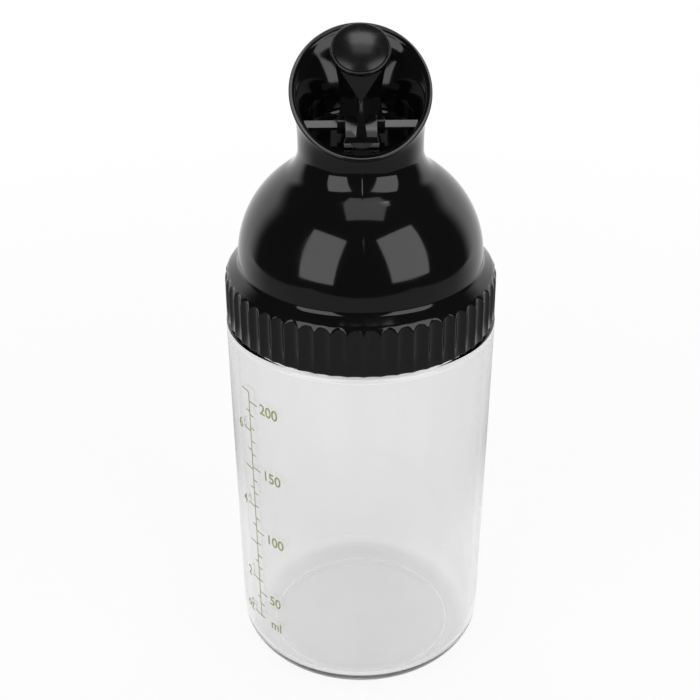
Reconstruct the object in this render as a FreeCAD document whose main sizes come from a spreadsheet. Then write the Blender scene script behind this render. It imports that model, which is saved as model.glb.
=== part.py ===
# Salad dressing shaker bottle: a clear threaded bottle, a one-piece screw lid with a slanted spout,
# and the lever that lifts a stopper off the pour hole.
# Millimetres, +Z up, origin at the centre of the foot, pouring side at -Y.
import FreeCAD
import Part
import Sketcher
import math
import os

# Driving sizes in millimetres, degrees where the name says angle, and plain counts
SIZES = {
    # bottle
    "body_radius": 31.6,
    "body_taper": 1.4,
    "body_height": 92.0,
    "bottle_wall": 2.0,
    "bottle_floor": 3.0,
    "base_corner": 7.0,
    "foot_ring_width": 2.9,
    "foot_recess_depth": 0.8,
    "shoulder_edge": 0.8,
    "throat_blend": 1.5,
    "shoulder_width": 3.9,
    "neck_height": 10.5,
    "neck_edge": 0.6,
    # screw thread shared by the bottle and the lid
    "thread_lead": 5.0,
    "thread_turns": 1.1,
    "thread_start": 3.75,
    "thread_depth": 1.0,
    "thread_root_width": 1.8,
    "thread_crest_width": 0.9,
    "thread_sink": 0.3,
    "thread_side_clearance": 0.35,
    "thread_top_clearance": 0.4,
    "lid_thread_turns": 1.0,
    "lid_thread_depth": 1.1,
    # gasket
    "gasket_thickness": 1.6,
    "gasket_clearance": 0.05,
    "gasket_side_clearance": 0.2,
    "gasket_edge": 0.3,
    # lid
    "lid_gap": 0.5,
    "lid_wall": 2.0,
    "collar_overhang": 0.05,
    "collar_straight": 8.4,
    "collar_round": 8.5,
    "collar_edge": 0.5,
    "flute_count": 54,
    "flute_radius": 2.3,
    "flute_depth": 0.7,
    "collar_step": 3.4,
    "dome_offset": 4.45,
    "dome_crease": 0.8,
    "spout_radius": 14.05,
    "spout_straight": 0.4,
    "spout_crease": 7.0,
    "spout_floor_lift": 0.756,
    "spout_floor": 2.0,
    "spout_floor_blend": 1.0,
    "front_lip": 1.26,
    "rim_side_flare": 1.85,
    "rim_front_flare": 0.5,
    "rim_back_flare": 4.5,
    "rim_angle": 31.35,
    "rim_edge": 0.5,
    "pour_hole_radius": 2.2,
    "seat_depth": 0.9,
    # lever, its pin and its stopper
    "pin_radius": 1.3,
    "pin_forward": 2.7,
    "pin_skin": 0.85,
    "pin_chamfer": 0.3,
    "socket_clearance": 0.03,
    "pin_clearance": 0.05,
    "hub_radius": 2.7,
    "hub_width": 10.5,
    "hub_floor_clearance": 0.3,
    "tongue_gap": 2.5,
    "tongue_root_thickness": 4.6,
    "tongue_end_thickness": 0.9,
    "tongue_end_width": 8.2,
    "tongue_edge": 0.4,
    "arm_foot_inset": 0.9,
    "arm_foot_depth": 4.2,
    "arm_head_width": 11.4,
    "arm_head_depth": 9.2,
    "arm_ridge": 1.0,
    "arm_facet": 9.0,
    "waist_rise": 5.8,
    "head_setback": 3.3,
    "head_rise": 16.3,
    "head_angle": 37.5,
    "head_radius": 6.6,
    "head_thickness": 3.4,
    "head_edge": 0.3,
    "pad_radius": 5.95,
    "pad_recess": 1.2,
    "pad_crown": 2.0,
    "pad_clearance": 0.1,
    "stopper_reach": 3.5,
    "stopper_flange": 0.8,
    "stopper_clearance": 0.05,
    "seat_clearance": 0.35,
}

SPOUT_SECTIONS = 4
FLARE_POWER = 3
# Where the arm is widest, behind its middle as a share of its depth, and its back as a share of its width
ARM_SIDE_SHARE = 0.2
ARM_BACK_SHARE = 0.8
FULL_TURN = 360
QUARTER_TURN = 90
NEAR = 0.01
EDGE_SAMPLES = 7

doc = FreeCAD.newDocument("ShakerBottle")


class Size:
    """A number together with the sheet expression that gives it."""

    def __init__(self, value, text):
        self.value = value
        self.text = text

    def join(self, sign, other, value):
        return Size(value, f"({self.text} {sign} {as_size(other).text})")

    def __add__(self, other):
        return self.join("+", other, self.value + as_size(other).value)

    def __sub__(self, other):
        return self.join("-", other, self.value - as_size(other).value)

    def __mul__(self, other):
        return self.join("*", other, self.value * as_size(other).value)

    def __rmul__(self, other):
        return as_size(other) * self

    def __truediv__(self, other):
        return self.join("/", other, self.value / as_size(other).value)

    def __neg__(self):
        return Size(-self.value, f"(-1 * {self.text})")


def as_size(number):
    return number if isinstance(number, Size) else Size(float(number), repr(float(number)))


def root(square):
    return Size(math.sqrt(square.value), f"sqrt({square.text})")


def tangent(angle):
    return Size(math.tan(math.radians(angle.value)), f"tan({angle.text})")


def arctangent(slope):
    return Size(math.degrees(math.atan(slope.value)), f"atan({slope.text})")


def sine(angle):
    return Size(math.sin(math.radians(angle.value)), f"sin({angle.text})")


def cosine(angle):
    return Size(math.cos(math.radians(angle.value)), f"cos({angle.text})")


def rise_to(radius, inset):
    """Height gained along an arc of this radius from its widest point until it has come in by inset."""
    return root(radius * radius - (radius - inset) * (radius - inset))


def make_sheet():
    sheet = doc.addObject("Spreadsheet::Sheet", "Sizes")
    for row, (name, value) in enumerate(SIZES.items(), start=1):
        sheet.set(f"A{row}", name)
        sheet.set(f"B{row}", str(value))
        sheet.setAlias(f"B{row}", name)
    doc.recompute()
    return {name: Size(value, f"Sizes.{name}") for name, value in SIZES.items()}


def origin_part(body, role):
    return next(feature for feature in body.Origin.OriginFeatures if feature.Role == role)


def new_body(label):
    body = doc.addObject("PartDesign::Body", label)
    body.Label = label
    return body


def bind(item, path, size):
    item.setExpression(path, as_size(size).text)


def new_sketch(body, name, plane):
    sketch = body.newObject("Sketcher::SketchObject", name)
    sketch.AttachmentSupport = [(origin_part(body, plane), "")]
    sketch.MapMode = "FlatFace"
    return sketch


def shift_sketch(sketch, axis, angle=0, **shifts):
    """Move a sketch off its plane: turned about an axis, then shifted along x, y or z."""
    turn = FreeCAD.Rotation(axis, as_size(angle).value)
    moves = [as_size(shifts.get(side, 0)).value for side in "xyz"]
    sketch.AttachmentOffset = FreeCAD.Placement(FreeCAD.Vector(*moves), turn)
    if isinstance(angle, Size):
        bind(sketch, "AttachmentOffset.Rotation.Angle", angle)
    for side, shift in shifts.items():
        bind(sketch, f"AttachmentOffset.Base.{side}", shift)


def constrain(sketch, name, size, kind, *where):
    """Add one sized constraint and tie it to the sheet."""
    size = as_size(size)
    index = sketch.addConstraint(Sketcher.Constraint(kind, *where, size.value))
    sketch.renameConstraint(index, name)
    bind(sketch, f"Constraints.{name}", size)


def pin_point(sketch, name, geometry, end, x, y):
    """Hold one point of a sketch at (x, y)."""
    for letter, kind, axis, size in (("x", "DistanceX", -2, x), ("y", "DistanceY", -1, y)):
        if as_size(size).value == 0:
            sketch.addConstraint(Sketcher.Constraint("PointOnObject", geometry, end, axis))
        else:
            constrain(sketch, name + letter, size, kind, -1, 1, geometry, end)


def arc_between(start, end, radius):
    """The shorter arc from start to end, turning left where the radius is positive."""
    chord = end - start
    half = chord.Length / 2
    reach = math.sqrt(radius * radius - half * half)
    side = FreeCAD.Vector(-chord.y, chord.x, 0).normalize() * math.copysign(reach, radius)
    centre = (start + end) * 0.5 + side
    first, last = (start, end) if radius > 0 else (end, start)
    angles = [math.atan2(point.y - centre.y, point.x - centre.x) for point in (first, last)]
    circle = Part.Circle(centre, FreeCAD.Vector(0, 0, 1), abs(radius))
    return Part.ArcOfCircle(circle, *angles)


def outline(sketch, corners, arcs=None):
    """Closed outline through the corners; arcs gives the signed radius of each round side by its number."""
    arcs = arcs or {}
    points = [FreeCAD.Vector(as_size(x).value, as_size(y).value, 0) for x, y in corners]
    starts = {}
    ends = {}
    for side, start in enumerate(points):
        end = points[(side + 1) % len(points)]
        if side in arcs:
            sketch.addGeometry(arc_between(start, end, arcs[side].value))
            forward = arcs[side].value > 0
        else:
            sketch.addGeometry(Part.LineSegment(start, end))
            forward = True
        starts[side], ends[side] = (1, 2) if forward else (2, 1)
    for side in range(len(points)):
        after = (side + 1) % len(points)
        sketch.addConstraint(Sketcher.Constraint("Coincident", side, ends[side], after, starts[after]))
    for side, (x, y) in enumerate(corners):
        pin_point(sketch, f"corner{side}", side, starts[side], x, y)
    for side, radius in arcs.items():
        constrain(sketch, f"radius{side}", radius if radius.value > 0 else -radius, "Radius", side)
    return sketch


def circle(sketch, radius, x=0, y=0):
    centre = FreeCAD.Vector(as_size(x).value, as_size(y).value, 0)
    sketch.addGeometry(Part.Circle(centre, FreeCAD.Vector(0, 0, 1), as_size(radius).value))
    pin_point(sketch, "centre", 0, 3, x, y)
    constrain(sketch, "radius", radius, "Radius", 0)
    return sketch


def ellipse(sketch, half_width, half_length):
    """Ellipse about the sketch's origin, longer along y."""
    origin = FreeCAD.Vector(0, 0, 0)
    far = FreeCAD.Vector(0, half_length.value, 0)
    side = FreeCAD.Vector(-half_width.value, 0, 0)
    sketch.addGeometry(Part.Ellipse(far, side, origin))
    sketch.exposeInternalGeometry(0)
    sketch.addConstraint(Sketcher.Constraint("Coincident", 0, 3, -1, 1))
    sketch.addConstraint(Sketcher.Constraint("Vertical", 1))
    constrain(sketch, "length", 2 * half_length, "Distance", 1)
    constrain(sketch, "width", 2 * half_width, "Distance", 2)
    return sketch


def rectangle(sketch, half_width, low, high):
    return outline(sketch, [(-half_width, low), (half_width, low), (half_width, high), (-half_width, high)])


def feature(body, kind, name, profile=None, **settings):
    """Add one feature, bind its sizes and compute it."""
    item = body.newObject(f"PartDesign::{kind}", name)
    if profile is not None:
        item.Profile = profile
    for setting, value in settings.items():
        if isinstance(value, Size):
            setattr(item, setting, value.value)
            bind(item, setting, value)
        else:
            setattr(item, setting, value)
    doc.recompute()
    return item


def revolve(body, kind, name, sketch):
    return feature(body, kind, name, sketch, ReferenceAxis=(sketch, ["V_Axis"]), Angle=FULL_TURN)


def edge_names(shape, chosen):
    names = [f"Edge{number}" for number, edge in enumerate(shape.Edges, start=1) if chosen(edge)]
    if not names:
        raise RuntimeError("no edge there to round")
    return names


def dress(body, kind, name, chosen, **sizes):
    """Round or chamfer the edges of the body so far that chosen picks."""
    base = body.Tip
    names = edge_names(base.Shape, chosen)
    return feature(body, kind, name, Base=(base, names), **sizes)


def ring_edge(radius, height, y=0):
    """Picks level round edges of one radius and height, about the vertical axis or one further along y."""
    wide = as_size(radius).value
    high = as_size(height).value
    middle = as_size(y).value

    def chosen(edge):
        points = edge.discretize(EDGE_SAMPLES)
        level = all(abs(point.z - high) < NEAR for point in points)
        return level and all(abs(math.hypot(point.x, point.y - middle) - wide) < NEAR for point in points)

    return chosen


def rim_edge(edge):
    """Picks edges that lie in the plane of the slanted rim."""
    slope = tangent(sizes["rim_angle"]).value
    points = edge.discretize(EDGE_SAMPLES)
    return all(abs(point.z - rim_height.value - slope * point.y) < NEAR for point in points)


def tongue_end_edge(edge):
    """Picks the edges of the tongue's far end, apart from the one on its underside."""
    end_y = (pin_y - tongue_reach).value
    points = [vertex.Point for vertex in edge.Vertexes]
    if not all(abs(point.y - end_y) < NEAR for point in points):
        return False
    return any(point.z > lever_underside.value + NEAR for point in points)


def head_edge(edge):
    """Picks the upper and lower edges of the round head."""
    return isinstance(edge.Curve, Part.Circle) and abs(edge.Curve.Radius - SIZES["head_radius"]) < NEAR


def cut_checked(body, kind, name, sketch, **settings):
    """Add a cut and make sure that it took material away."""
    before = body.Tip.Shape.Volume
    item = feature(body, kind, name, sketch, **settings)
    if item.Shape.Volume > before - NEAR:
        raise RuntimeError(f"{name} cut nothing")
    return item


def place(body, z, y=0, angle=None):
    """Set a body's place, turned about X where an angle is given."""
    turn = as_size(angle or 0)
    spot = FreeCAD.Vector(0, as_size(y).value, z.value)
    body.Placement = FreeCAD.Placement(spot, FreeCAD.Rotation(FreeCAD.Vector(1, 0, 0), turn.value))
    bind(body, "Placement.Base.y", y)
    bind(body, "Placement.Base.z", z)
    if angle is not None:
        bind(body, "Placement.Rotation.Angle", turn)


def thread(body, name, root_radius, crest_radius, middle, turns):
    """A helical ridge that stands on root_radius and ends at crest_radius."""
    root_half = sizes["thread_root_width"] / 2
    crest_half = sizes["thread_crest_width"] / 2
    profile = new_sketch(body, f"{name}_profile", "XZ_Plane")
    outline(profile, [
        (root_radius, middle - root_half),
        (crest_radius, middle - crest_half),
        (crest_radius, middle + crest_half),
        (root_radius, middle + root_half),
    ])
    axis = (origin_part(body, "Z_Axis"), [""])
    return feature(body, "AdditiveHelix", name, profile, ReferenceAxis=axis, Mode="pitch-turns-angle",
                   Pitch=sizes["thread_lead"], Turns=turns, Angle=0)


sizes = make_sheet()

# Values that several pieces share; heights on the lid count from the collar's lower edge
base_radius = sizes["body_radius"] - sizes["body_taper"]
foot_edge = base_radius - sizes["base_corner"] - sizes["foot_ring_width"]
neck_radius = sizes["body_radius"] - sizes["shoulder_width"]
bottle_rim = sizes["body_height"] + sizes["neck_height"]
lid_base = sizes["body_height"] + sizes["lid_gap"]
skirt_radius = neck_radius + sizes["thread_depth"] + sizes["thread_top_clearance"]
gasket_low = bottle_rim + sizes["gasket_clearance"]
ledge = gasket_low + sizes["gasket_thickness"] + sizes["gasket_clearance"] - lid_base
collar_radius = sizes["body_radius"] + sizes["collar_overhang"]
dome_radius = collar_radius - sizes["collar_step"]
lid_bore = dome_radius - sizes["lid_wall"]
crease = sizes["collar_straight"] + rise_to(sizes["collar_round"], sizes["collar_step"])
dome_curve = dome_radius - sizes["dome_offset"]
spout_foot = crease + rise_to(dome_curve, dome_radius - sizes["spout_radius"])
blend_reach = dome_curve + sizes["spout_crease"]
blend_side = sizes["spout_radius"] + sizes["spout_crease"] - sizes["dome_offset"]
spout_base = crease + root(blend_reach * blend_reach - blend_side * blend_side) + sizes["spout_straight"]
spout_bore = sizes["spout_radius"] - sizes["lid_wall"]
floor_low = spout_base + sizes["spout_floor_lift"]
floor_top = floor_low + sizes["spout_floor"]
rim_height = floor_top + tangent(sizes["rim_angle"]) * spout_bore + sizes["front_lip"]
rim_half_width = sizes["spout_radius"] + sizes["rim_side_flare"]
rim_half_run = sizes["spout_radius"] + (sizes["rim_front_flare"] + sizes["rim_back_flare"]) / 2
rim_y = (sizes["rim_back_flare"] - sizes["rim_front_flare"]) / 2
rim_z = rim_height + tangent(sizes["rim_angle"]) * rim_y
lever_underside = floor_top + sizes["hub_floor_clearance"]
pin_y = -sizes["pin_forward"]
pin_z = lever_underside + sizes["hub_radius"]
pin_half_length = sizes["spout_radius"] - sizes["pin_skin"]
tongue_reach = spout_bore - sizes["pin_forward"] - sizes["tongue_gap"]
stopper_y = pin_y - sizes["stopper_reach"]
seat_radius = sizes["pour_hole_radius"] + sizes["seat_depth"]
head_y = pin_y + sizes["head_setback"]
head_z = pin_z + sizes["head_rise"]
pad_floor = sizes["pad_recess"] - sizes["pad_clearance"]


def make_bottle():
    body = new_body("bottle")
    wall = sizes["bottle_wall"]
    throat = neck_radius - wall
    slope = (sizes["body_radius"] - base_radius) / sizes["body_height"]
    inner_base = base_radius + slope * sizes["bottle_floor"] - wall
    ceiling = sizes["body_height"] - wall
    inner_top = base_radius + slope * ceiling - wall
    section = new_sketch(body, "bottle_section", "XZ_Plane")
    outline(section, [
        (0, sizes["foot_recess_depth"]),
        (foot_edge - sizes["foot_recess_depth"], sizes["foot_recess_depth"]),
        (foot_edge, 0),
        (base_radius, 0),
        (sizes["body_radius"], sizes["body_height"]),
        (neck_radius, sizes["body_height"]),
        (neck_radius, bottle_rim),
        (throat, bottle_rim),
        (throat, ceiling),
        (inner_top, ceiling),
        (inner_base, sizes["bottle_floor"]),
        (0, sizes["bottle_floor"]),
    ])
    revolve(body, "Revolution", "bottle_walls", section)
    dress(body, "Fillet", "base_round", ring_edge(base_radius, 0), Radius=sizes["base_corner"])
    dress(body, "Fillet", "inner_round", ring_edge(inner_base, sizes["bottle_floor"]),
          Radius=sizes["base_corner"] - wall)
    dress(body, "Fillet", "shoulder_round", ring_edge(sizes["body_radius"], sizes["body_height"]),
          Radius=sizes["shoulder_edge"])
    dress(body, "Fillet", "throat_round", ring_edge(throat, ceiling), Radius=sizes["throat_blend"])
    dress(body, "Fillet", "lip_round", ring_edge(neck_radius, bottle_rim), Radius=sizes["neck_edge"])
    thread(body, "bottle_thread", neck_radius - sizes["thread_sink"],
           neck_radius + sizes["thread_depth"],
           sizes["body_height"] + sizes["thread_start"], sizes["thread_turns"])
    return body


def make_gasket():
    body = new_body("rim_gasket")
    inner = lid_bore + sizes["gasket_side_clearance"]
    outer = skirt_radius - sizes["gasket_side_clearance"]
    high = sizes["gasket_thickness"]
    section = new_sketch(body, "gasket_section", "XZ_Plane")
    outline(section, [(inner, 0), (outer, 0), (outer, high), (inner, high)])
    revolve(body, "Revolution", "gasket_ring", section)
    chosen = ring_edge(outer, 0), ring_edge(inner, 0), ring_edge(outer, high), ring_edge(inner, high)
    dress(body, "Fillet", "gasket_round", lambda edge: any(pick(edge) for pick in chosen),
          Radius=sizes["gasket_edge"])
    place(body, gasket_low)
    return body


def spout_section(body, share):
    """One slice of the spout's outside, from the round neck at 0 to the slanted rim at 1."""
    growth = share ** FLARE_POWER
    slope = tangent(sizes["rim_angle"]) * share
    slant = arctangent(slope)
    middle_y = rim_y * growth
    neck = sizes["spout_radius"]
    half_width = neck + (rim_half_width - neck) * growth
    half_length = (neck + (rim_half_run - neck) * growth) / cosine(slant)
    sketch = new_sketch(body, f"spout_slice_{round(share * 100)}", "XY_Plane")
    ellipse(sketch, half_width, half_length)
    shift_sketch(sketch, FreeCAD.Vector(1, 0, 0), slant, y=middle_y,
                 z=spout_base + (rim_height - spout_base) * share + slope * middle_y)
    return sketch


def round_slice(body, name, radius, height):
    """A level circle whose seam lies at the back, in line with the slanted slices."""
    sketch = new_sketch(body, name, "XY_Plane")
    circle(sketch, radius)
    shift_sketch(sketch, FreeCAD.Vector(0, 0, 1), QUARTER_TURN, z=height)
    return sketch


def make_lid():
    body = new_body("lid")
    wall = sizes["lid_wall"]
    shell = new_sketch(body, "lid_outside", "XZ_Plane")
    outline(shell, [
        (0, 0),
        (collar_radius, 0),
        (collar_radius, sizes["collar_straight"]),
        (dome_radius, crease),
        (sizes["spout_radius"], spout_foot),
        (sizes["spout_radius"], spout_base),
        (0, spout_base),
    ], arcs={2: sizes["collar_round"], 3: dome_curve})
    revolve(body, "Revolution", "lid_block", shell)
    dress(body, "Fillet", "collar_round_edge", ring_edge(collar_radius, 0), Radius=sizes["collar_edge"])
    dress(body, "Fillet", "dome_blend", ring_edge(dome_radius, crease), Radius=sizes["dome_crease"])
    dress(body, "Fillet", "spout_blend", ring_edge(sizes["spout_radius"], spout_foot),
          Radius=sizes["spout_crease"])

    flute = new_sketch(body, "flute_outline", "XY_Plane")
    circle(flute, sizes["flute_radius"], x=collar_radius + sizes["flute_radius"] - sizes["flute_depth"])
    groove = cut_checked(body, "Pocket", "flute", flute, Length=crease, Reversed=True)
    ring = body.newObject("PartDesign::PolarPattern", "flutes")
    ring.Originals = [groove]
    ring.Axis = (origin_part(body, "Z_Axis"), [""])
    ring.Angle = FULL_TURN
    ring.Occurrences = SIZES["flute_count"]
    bind(ring, "Occurrences", sizes["flute_count"])
    body.Tip = ring
    doc.recompute()

    first = round_slice(body, "spout_slice_0", sizes["spout_radius"], spout_base)
    slices = [spout_section(body, step / (SPOUT_SECTIONS - 1)) for step in range(1, SPOUT_SECTIONS)]
    feature(body, "AdditiveLoft", "spout_flare", first, Sections=slices)

    hollow = new_sketch(body, "lid_inside", "XZ_Plane")
    inner_curve = dome_curve - wall
    inner_foot = crease + rise_to(inner_curve, lid_bore - spout_bore)
    outline(hollow, [
        (0, 0),
        (skirt_radius, 0),
        (skirt_radius, ledge),
        (lid_bore, ledge),
        (lid_bore, crease),
        (spout_bore, inner_foot),
        (spout_bore, floor_low),
        (0, floor_low),
    ], arcs={4: inner_curve})
    revolve(body, "Groove", "lid_hollow", hollow)
    dress(body, "Fillet", "inner_blend", ring_edge(spout_bore, inner_foot),
          Radius=sizes["spout_crease"] + wall)

    mouth_floor = round_slice(body, "mouth_floor", spout_bore, floor_top)
    mouth_rim = new_sketch(body, "mouth_rim", "XY_Plane")
    ellipse(mouth_rim, rim_half_width - wall, rim_half_run / cosine(sizes["rim_angle"]) - wall)
    shift_sketch(mouth_rim, FreeCAD.Vector(1, 0, 0), sizes["rim_angle"], y=rim_y, z=rim_z)
    cut_checked(body, "SubtractiveLoft", "spout_mouth", mouth_floor, Sections=[mouth_rim])

    dress(body, "Fillet", "rim_round", rim_edge, Radius=sizes["rim_edge"])
    dress(body, "Fillet", "floor_round", ring_edge(spout_bore, floor_top),
          Radius=sizes["spout_floor_blend"])

    hole = new_sketch(body, "pour_hole_outline", "XY_Plane")
    circle(hole, sizes["pour_hole_radius"], y=stopper_y)
    shift_sketch(hole, FreeCAD.Vector(0, 0, 1), z=floor_top)
    cut_checked(body, "Pocket", "pour_hole", hole, Length=sizes["spout_floor"])
    dress(body, "Chamfer", "stopper_seat", ring_edge(sizes["pour_hole_radius"], floor_top, stopper_y),
          Size=sizes["seat_depth"])

    sockets = new_sketch(body, "pin_sockets_outline", "YZ_Plane")
    circle(sockets, sizes["pin_radius"] + sizes["socket_clearance"], x=pin_y, y=pin_z)
    cut_checked(body, "Pocket", "pin_sockets", sockets, SideType="Symmetric",
                Length=2 * (pin_half_length + sizes["socket_clearance"]))

    below_bottle_thread = sizes["lid_gap"] + sizes["thread_root_width"] + sizes["thread_side_clearance"]
    thread(body, "lid_thread", skirt_radius + sizes["thread_sink"],
           skirt_radius - sizes["lid_thread_depth"],
           sizes["thread_start"] - below_bottle_thread, sizes["lid_thread_turns"])

    place(body, lid_base)
    return body


def arm_section(body, name, front_half, half_width, depth):
    """Six-sided slice of the lever's arm, with a flat at its front."""
    sketch = new_sketch(body, name, "XY_Plane")
    side = depth * ARM_SIDE_SHARE
    back_half = half_width * ARM_BACK_SHARE
    return outline(sketch, [
        (-front_half, -depth / 2),
        (front_half, -depth / 2),
        (half_width, side),
        (back_half, depth / 2),
        (-back_half, depth / 2),
        (-half_width, side),
    ])


def make_lever():
    body = new_body("lever")
    hub = new_sketch(body, "hub_outline", "YZ_Plane")
    circle(hub, sizes["hub_radius"], x=pin_y, y=pin_z)
    feature(body, "Pad", "hub", hub, SideType="Symmetric", Length=sizes["hub_width"])

    along = FreeCAD.Vector(0, 0, 1)
    tongue_root = new_sketch(body, "tongue_root", "XZ_Plane")
    rectangle(tongue_root, sizes["hub_width"] / 2, lever_underside,
              lever_underside + sizes["tongue_root_thickness"])
    shift_sketch(tongue_root, along, z=sizes["pin_forward"])
    tongue_end = new_sketch(body, "tongue_end", "XZ_Plane")
    rectangle(tongue_end, sizes["tongue_end_width"] / 2, lever_underside,
              lever_underside + sizes["tongue_end_thickness"])
    shift_sketch(tongue_end, along, z=sizes["pin_forward"] + tongue_reach)
    feature(body, "AdditiveLoft", "tongue", tongue_root, Sections=[tongue_end], Ruled=True)
    dress(body, "Fillet", "tongue_round", tongue_end_edge, Radius=sizes["tongue_edge"])

    lean = FreeCAD.Vector(1, 0, 0)
    foot_half = sizes["hub_width"] / 2 - sizes["arm_foot_inset"]
    foot = arm_section(body, "arm_foot", sizes["arm_ridge"] / 2, foot_half, sizes["arm_foot_depth"])
    shift_sketch(foot, lean, y=pin_y, z=pin_z)
    waist = arm_section(body, "arm_waist", sizes["arm_ridge"] / 2, foot_half, sizes["arm_foot_depth"])
    shift_sketch(waist, lean, y=pin_y + sizes["head_setback"] * sizes["waist_rise"] / sizes["head_rise"],
                 z=pin_z + sizes["waist_rise"])
    top = arm_section(body, "arm_top", sizes["arm_facet"] / 2, sizes["arm_head_width"] / 2,
                      sizes["arm_head_depth"])
    sunk = sizes["head_thickness"] / 2
    shift_sketch(top, lean, sizes["head_angle"], y=head_y + sunk * sine(sizes["head_angle"]),
                 z=head_z - sunk * cosine(sizes["head_angle"]))
    feature(body, "AdditiveLoft", "arm", foot, Sections=[waist, top], Ruled=True)

    head = new_sketch(body, "head_outline", "XY_Plane")
    circle(head, sizes["head_radius"])
    shift_sketch(head, lean, sizes["head_angle"], y=head_y, z=head_z)
    feature(body, "Pad", "head", head, Length=sizes["head_thickness"], Reversed=True)
    dress(body, "Fillet", "head_round", head_edge, Radius=sizes["head_edge"])

    recess = new_sketch(body, "pad_recess_outline", "XY_Plane")
    circle(recess, sizes["pad_radius"] + sizes["pad_clearance"])
    shift_sketch(recess, lean, sizes["head_angle"], y=head_y, z=head_z)
    cut_checked(body, "Pocket", "pad_recess", recess, Length=sizes["pad_recess"])

    socket = new_sketch(body, "stopper_socket_outline", "XY_Plane")
    circle(socket, seat_radius + sizes["stopper_clearance"], y=stopper_y)
    shift_sketch(socket, along, z=lever_underside)
    cut_checked(body, "Pocket", "stopper_socket", socket, Length=sizes["stopper_flange"], Reversed=True)

    bore = new_sketch(body, "pin_bore_outline", "YZ_Plane")
    circle(bore, sizes["pin_radius"] + sizes["pin_clearance"], x=pin_y, y=pin_z)
    cut_checked(body, "Pocket", "pin_bore", bore, SideType="Symmetric", Length=2 * sizes["hub_width"])
    place(body, lid_base)
    return body


def make_pin():
    body = new_body("lever_pin")
    section = new_sketch(body, "pin_outline", "YZ_Plane")
    circle(section, sizes["pin_radius"])
    feature(body, "Pad", "pin_rod", section, SideType="Symmetric", Length=2 * pin_half_length)
    dress(body, "Chamfer", "pin_ends", lambda edge: isinstance(edge.Curve, Part.Circle),
          Size=sizes["pin_chamfer"])
    place(body, lid_base + pin_z, y=pin_y)
    return body


def make_stopper():
    body = new_body("stopper")
    tip = sizes["seat_clearance"] - sizes["seat_depth"]
    high = sizes["hub_floor_clearance"] + sizes["stopper_flange"] - sizes["stopper_clearance"]
    section = new_sketch(body, "stopper_section", "XZ_Plane")
    outline(section, [
        (0, tip),
        (sizes["pour_hole_radius"], tip),
        (seat_radius, sizes["seat_clearance"]),
        (seat_radius, high),
        (0, high),
    ])
    revolve(body, "Revolution", "stopper_plug", section)
    place(body, lid_base + floor_top, y=stopper_y)
    return body


def make_thumb_pad():
    body = new_body("thumb_pad")
    radius = sizes["pad_radius"]
    crown = sizes["pad_crown"]
    section = new_sketch(body, "pad_section", "XZ_Plane")
    outline(section, [
        (0, -pad_floor),
        (radius, -pad_floor),
        (radius, 0),
        (0, crown),
    ], arcs={2: (radius * radius + crown * crown) / (2 * crown)})
    revolve(body, "Revolution", "pad_disc", section)
    place(body, lid_base + head_z, y=head_y, angle=sizes["head_angle"])
    return body


def check_document(pieces):
    """Stop unless every object computed and every piece is one valid solid."""
    doc.recompute()
    for item in doc.Objects:
        if {"Invalid", "Error"} & set(item.State):
            raise RuntimeError(f"{item.Name} did not compute: {item.State}")
    for piece in pieces:
        shape = piece.Shape
        if shape.isNull() or not shape.isValid() or len(shape.Solids) != 1:
            raise RuntimeError(f"{piece.Label} is not one valid solid")


pieces = [make_bottle(), make_gasket(), make_lid(), make_lever(), make_pin(), make_stopper(),
          make_thumb_pad()]
check_document(pieces)
os.makedirs("parts", exist_ok=True)
for piece in pieces:
    piece.Shape.exportStep(f"parts/{piece.Label}.step")
    box = piece.Shape.optimalBoundingBox()
    print(f"{piece.Label}: {piece.Shape.Volume:.1f} mm3, z {box.ZMin:.2f} to {box.ZMax:.2f}")
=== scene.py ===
"""A salad dressing shaker bottle: the shells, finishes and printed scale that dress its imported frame.

Metres, in the frame's own axes: +Z up, origin under the middle of the foot, pouring side at -Y.
"""

import logging
import math
from dataclasses import dataclass
from enum import Enum
from functools import partial
from typing import Any, Callable, Mapping, Sequence, Union

import bpy
from mathutils import Matrix, Vector


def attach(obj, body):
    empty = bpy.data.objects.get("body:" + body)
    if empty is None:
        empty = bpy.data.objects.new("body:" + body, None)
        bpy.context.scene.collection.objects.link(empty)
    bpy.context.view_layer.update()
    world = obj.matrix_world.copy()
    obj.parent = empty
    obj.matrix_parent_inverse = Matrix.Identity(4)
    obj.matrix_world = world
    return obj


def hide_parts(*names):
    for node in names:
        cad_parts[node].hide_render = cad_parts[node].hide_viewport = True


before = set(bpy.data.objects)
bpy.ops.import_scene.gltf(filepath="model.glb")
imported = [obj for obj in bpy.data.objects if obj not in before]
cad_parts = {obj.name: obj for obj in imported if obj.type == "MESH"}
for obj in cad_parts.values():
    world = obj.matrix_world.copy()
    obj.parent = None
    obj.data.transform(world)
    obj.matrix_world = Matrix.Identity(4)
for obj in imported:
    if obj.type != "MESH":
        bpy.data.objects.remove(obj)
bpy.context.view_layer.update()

LOG = logging.getLogger("shaker_bottle")
MM = 0.001
FULL_TURN = 2 * math.pi
QUARTER_TURN = FULL_TURN / 4
WHITE = (1.0, 1.0, 1.0, 1.0)
BROAD, FINE = 1.0, 4.0  # finer layers that a noise has

Colour = tuple[float, float, float]
Place = tuple[float, float, float]
Point = tuple[float, float]
Row = Callable[[int], Vector]


def math_operator(operation: str, swapped: bool = False) -> Callable[["Signal", "Value"], "Signal"]:
    """Make an operator that adds one Math node.

    Args:
        operation: What the node does.
        swapped: Whether the signal is the second of its two values.

    Returns:
        The operator's method.
    """
    def apply(signal: "Signal", other: "Value") -> "Signal":
        """Add the node for the signal and another value."""
        pair = (other, signal) if swapped else (signal, other)
        return signal.graph.add("ShaderNodeMath", {"operation": operation}, dict(enumerate(pair)))
    return apply


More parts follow.
